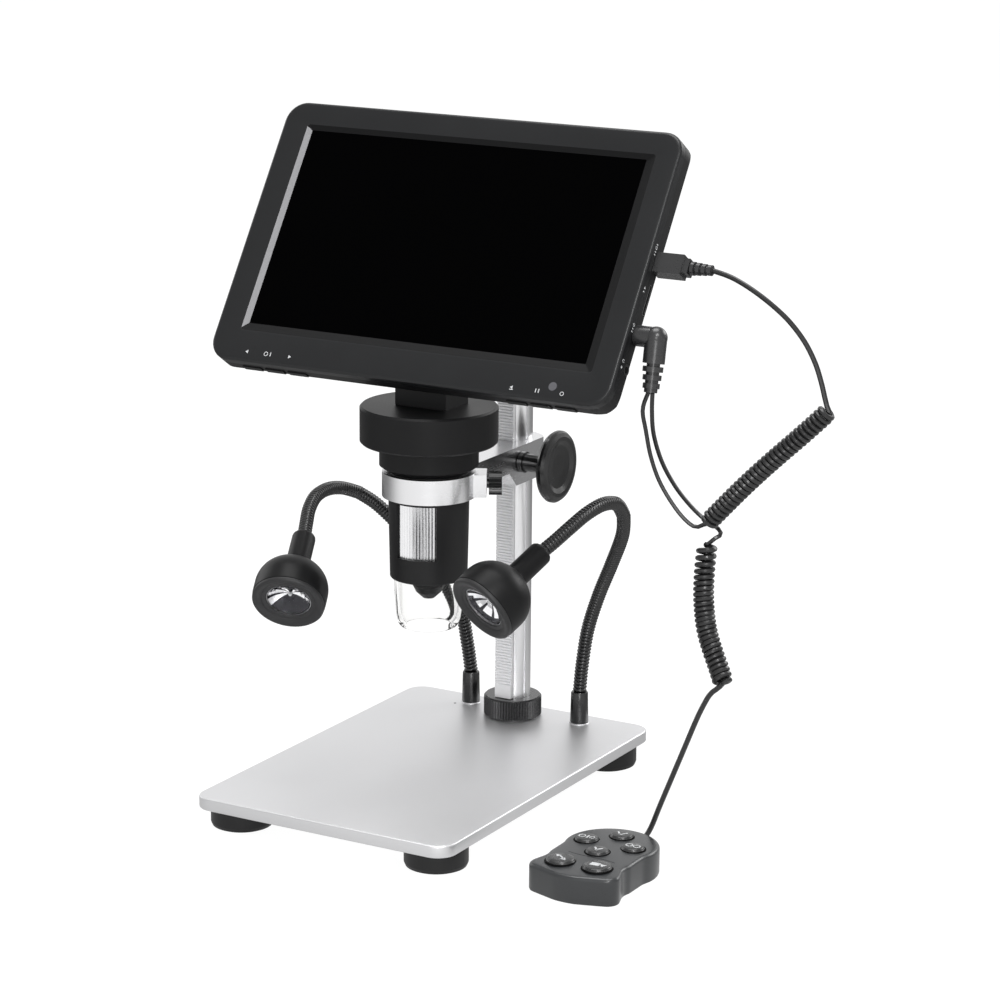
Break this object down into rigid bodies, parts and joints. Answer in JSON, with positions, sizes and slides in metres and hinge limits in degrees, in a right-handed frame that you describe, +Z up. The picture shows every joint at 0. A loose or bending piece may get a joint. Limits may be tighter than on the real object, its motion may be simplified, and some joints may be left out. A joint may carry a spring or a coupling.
{
  "type": "lcd digital microscope",
  "caption": "Desk microscope with a tilting flat screen over a focusing tube, on a rack-and-pinion column with gooseneck lamps, a heavy base plate and a corded remote.",
  "frame": {"origin": "On the floor, under the middle of the box of stand, screen and remote, cords left out. The stand's centre plane is at x = -0.018 m.", "axes": "+Z up, +X to the operator's right, -Y towards the operator, who looks along +Y"},
  "size_m": [0.2619, 0.172, 0.2731],
  "materials": {
    "silver_anodised": "satin anodised aluminium",
    "silver_turned": "turned and brushed aluminium",
    "black_plastic": "fine matt moulded plastic",
    "black_gloss": "smooth black plastic",
    "black_rubber": "soft black rubber",
    "remote_grey": "dark grey matt plastic",
    "key_rubber": "silicone rubber",
    "steel": "bright steel",
    "brass": "turned brass",
    "screen_black": "black screen polariser",
    "board_green": "coated circuit board",
    "clear_plastic": "clear moulded plastic",
    "lens_glass": "coated glass",
    "lamp_chrome": "vacuum-metallised reflector",
    "cord_black": "black PVC cord"
  },
  "bodies": {
    "stand": {"base_plate": "silver_anodised", "rubber_feet": "black_rubber", "base_screws": "steel", "column": "silver_turned", "column_rack": "silver_turned", "column_nut": "black_gloss", "lamp_ferrules": "black_gloss", "remote_lower_case": "remote_grey", "remote_upper_case": "remote_grey", "remote_board": "board_green", "remote_key_mat": "key_rubber"},
    "carriage": {"carriage_arm": "silver_turned", "pinion_bushes": "brass"},
    "height_drive": {"height_knob": "black_gloss", "pinion_shaft": "steel"},
    "clamp": {"clamp_screw": "black_gloss"},
    "microscope": {"tube_shell": "black_plastic", "head_housing": "black_plastic", "sensor_board": "board_green", "led_board": "board_green", "clear_nozzle": "clear_plastic", "neck_post": "black_plastic", "hinge_pin": "steel", "usb_lead": "cord_black", "power_coil": "cord_black", "jack_lead": "cord_black", "remote_lead": "cord_black", "remote_coil": "cord_black", "remote_cord": "cord_black"},
    "focus_ring": {"focus_drum": "silver_turned"},
    "lens_carrier": {"lens_barrel": "black_plastic", "lens_elements": "lens_glass"},
    "screen": {"screen_bezel": "black_plastic", "screen_back": "black_plastic", "lcd_panel": "screen_black", "main_board": "board_green", "hinge_bracket": "steel", "screen_screws": "steel", "usb_plug": "cord_black", "jack_plug": "cord_black"},
    "screen_key_1_cap": {"screen_key_1": "black_plastic"},
    "remote_key_1_cap": {"remote_key_1": "key_rubber"},
    "screen_key_2_cap": {"screen_key_2": "black_plastic"},
    "remote_key_2_cap": {"remote_key_2": "key_rubber"},
    "screen_key_3_cap": {"screen_key_3": "black_plastic"},
    "remote_key_3_cap": {"remote_key_3": "key_rubber"},
    "screen_key_4_cap": {"screen_key_4": "black_plastic"},
    "remote_key_4_cap": {"remote_key_4": "key_rubber"},
    "screen_key_5_cap": {"screen_key_5": "black_plastic"},
    "remote_key_5_cap": {"remote_key_5": "key_rubber"},
    "screen_key_6_cap": {"screen_key_6": "black_plastic"},
    "remote_key_6_cap": {"remote_key_6": "key_rubber"},
    "lamp_arm_right": {"gooseneck_lower_right": "black_rubber"},
    "lamp_right": {"gooseneck_upper_right": "black_rubber", "lamp_head_right": "black_plastic", "lamp_optics_right": "lamp_chrome"},
    "lamp_arm_left": {"gooseneck_lower_left": "black_rubber"},
    "lamp_left": {"gooseneck_upper_left": "black_rubber", "lamp_head_left": "black_plastic", "lamp_optics_left": "lamp_chrome"}
  },
  "joints": [
    {"name": "height_slide", "type": "slide", "parent": "stand", "child": "carriage", "axis": [0, 0, 1], "range_m": [-0.04, 0.03], "deforming": ["remote_cord"]},
    {"name": "height_knob_turn", "type": "hinge", "parent": "carriage", "child": "height_drive", "pos_m": [-0.018, 0.0583, 0.129], "axis": [1, 0, 0], "range_deg": [-360, 480]},
    {"name": "clamp_screw_turn", "type": "hinge", "parent": "carriage", "child": "clamp", "pos_m": [-0.018, 0.0015, 0.1308], "axis": [0.8746, 0.4848, 0], "range_deg": [0, 540]},
    {"name": "tube_swivel", "type": "hinge", "parent": "carriage", "child": "microscope", "pos_m": [-0.018, 0.0015, 0.13], "axis": [0, 0, 1], "range_deg": [-20, 20]},
    {"name": "focus_turn", "type": "hinge", "parent": "microscope", "child": "focus_ring", "pos_m": [-0.018, 0.0015, 0.113], "axis": [0, 0, 1], "range_deg": [-150, 150]},
    {"name": "lens_slide", "type": "slide", "parent": "microscope", "child": "lens_carrier", "axis": [0, 0, 1], "range_m": [-0.0025, 0.0025]},
    {"name": "screen_tilt", "type": "hinge", "parent": "microscope", "child": "screen", "pos_m": [-0.018, 0.00667, 0.18179], "axis": [1, 0, 0], "range_deg": [-20, 22], "deforming": ["usb_lead", "jack_lead", "remote_lead"]},
    {"name": "lamp_bend_right", "type": "hinge", "parent": "stand", "child": "lamp_arm_right", "pos_m": [0.0156, 0.0775, 0.058], "axis": [-1, 0, 0], "range_deg": [-15, 15], "deforming": ["gooseneck_lower_right"]},
    {"name": "lamp_swing_right", "type": "hinge", "parent": "lamp_arm_right", "child": "lamp_right", "pos_m": [0.047, 0.022, 0.124], "axis": [0, 0, -1], "range_deg": [-20, 10], "deforming": ["gooseneck_upper_right"]},
    {"name": "lamp_bend_left", "type": "hinge", "parent": "stand", "child": "lamp_arm_left", "pos_m": [-0.049, 0.0775, 0.057], "axis": [-1, 0, 0], "range_deg": [-15, 15], "deforming": ["gooseneck_lower_left"]},
    {"name": "lamp_swing_left", "type": "hinge", "parent": "lamp_arm_left", "child": "lamp_left", "pos_m": [-0.083, 0.022, 0.1138], "axis": [0, 0, 1], "range_deg": [-20, 10], "deforming": ["gooseneck_upper_left"]},
    {"name": "screen_key_1_press", "type": "slide", "parent": "screen", "child": "screen_key_1_cap", "axis": [0, 0.5505, 0.8348], "range_m": [0, 0.00045], "stiffness_N_per_m": 400},
    {"name": "screen_key_2_press", "type": "slide", "parent": "screen", "child": "screen_key_2_cap", "axis": [0, 0.5505, 0.8348], "range_m": [0, 0.00045], "stiffness_N_per_m": 400},
    {"name": "screen_key_3_press", "type": "slide", "parent": "screen", "child": "screen_key_3_cap", "axis": [0, 0.5505, 0.8348], "range_m": [0, 0.00045], "stiffness_N_per_m": 400},
    {"name": "screen_key_4_press", "type": "slide", "parent": "screen", "child": "screen_key_4_cap", "axis": [0, 0.5505, 0.8348], "range_m": [0, 0.00045], "stiffness_N_per_m": 400},
    {"name": "screen_key_5_press", "type": "slide", "parent": "screen", "child": "screen_key_5_cap", "axis": [0, 0.5505, 0.8348], "range_m": [0, 0.00045], "stiffness_N_per_m": 400},
    {"name": "screen_key_6_press", "type": "slide", "parent": "screen", "child": "screen_key_6_cap", "axis": [0, 0.5505, 0.8348], "range_m": [0, 0.00045], "stiffness_N_per_m": 400},
    {"name": "remote_key_1_press", "type": "slide", "parent": "stand", "child": "remote_key_1_cap", "axis": [0, 0, -1], "range_m": [0, 0.0004], "stiffness_N_per_m": 400},
    {"name": "remote_key_2_press", "type": "slide", "parent": "stand", "child": "remote_key_2_cap", "axis": [0, 0, -1], "range_m": [0, 0.0004], "stiffness_N_per_m": 400},
    {"name": "remote_key_3_press", "type": "slide", "parent": "stand", "child": "remote_key_3_cap", "axis": [0, 0, -1], "range_m": [0, 0.0004], "stiffness_N_per_m": 400},
    {"name": "remote_key_4_press", "type": "slide", "parent": "stand", "child": "remote_key_4_cap", "axis": [0, 0, -1], "range_m": [0, 0.0004], "stiffness_N_per_m": 400},
    {"name": "remote_key_5_press", "type": "slide", "parent": "stand", "child": "remote_key_5_cap", "axis": [0, 0, -1], "range_m": [0, 0.0004], "stiffness_N_per_m": 400},
    {"name": "remote_key_6_press", "type": "slide", "parent": "stand", "child": "remote_key_6_cap", "axis": [0, 0, -1], "range_m": [0, 0.0004], "stiffness_N_per_m": 400}
  ],
  "couplings": [
    {"joint": "height_knob_turn", "follows": "height_slide", "rad_per_m": -208.33},
    {"joint": "lens_slide", "follows": "focus_turn", "m_per_rad": 0.00095}
  ]
}
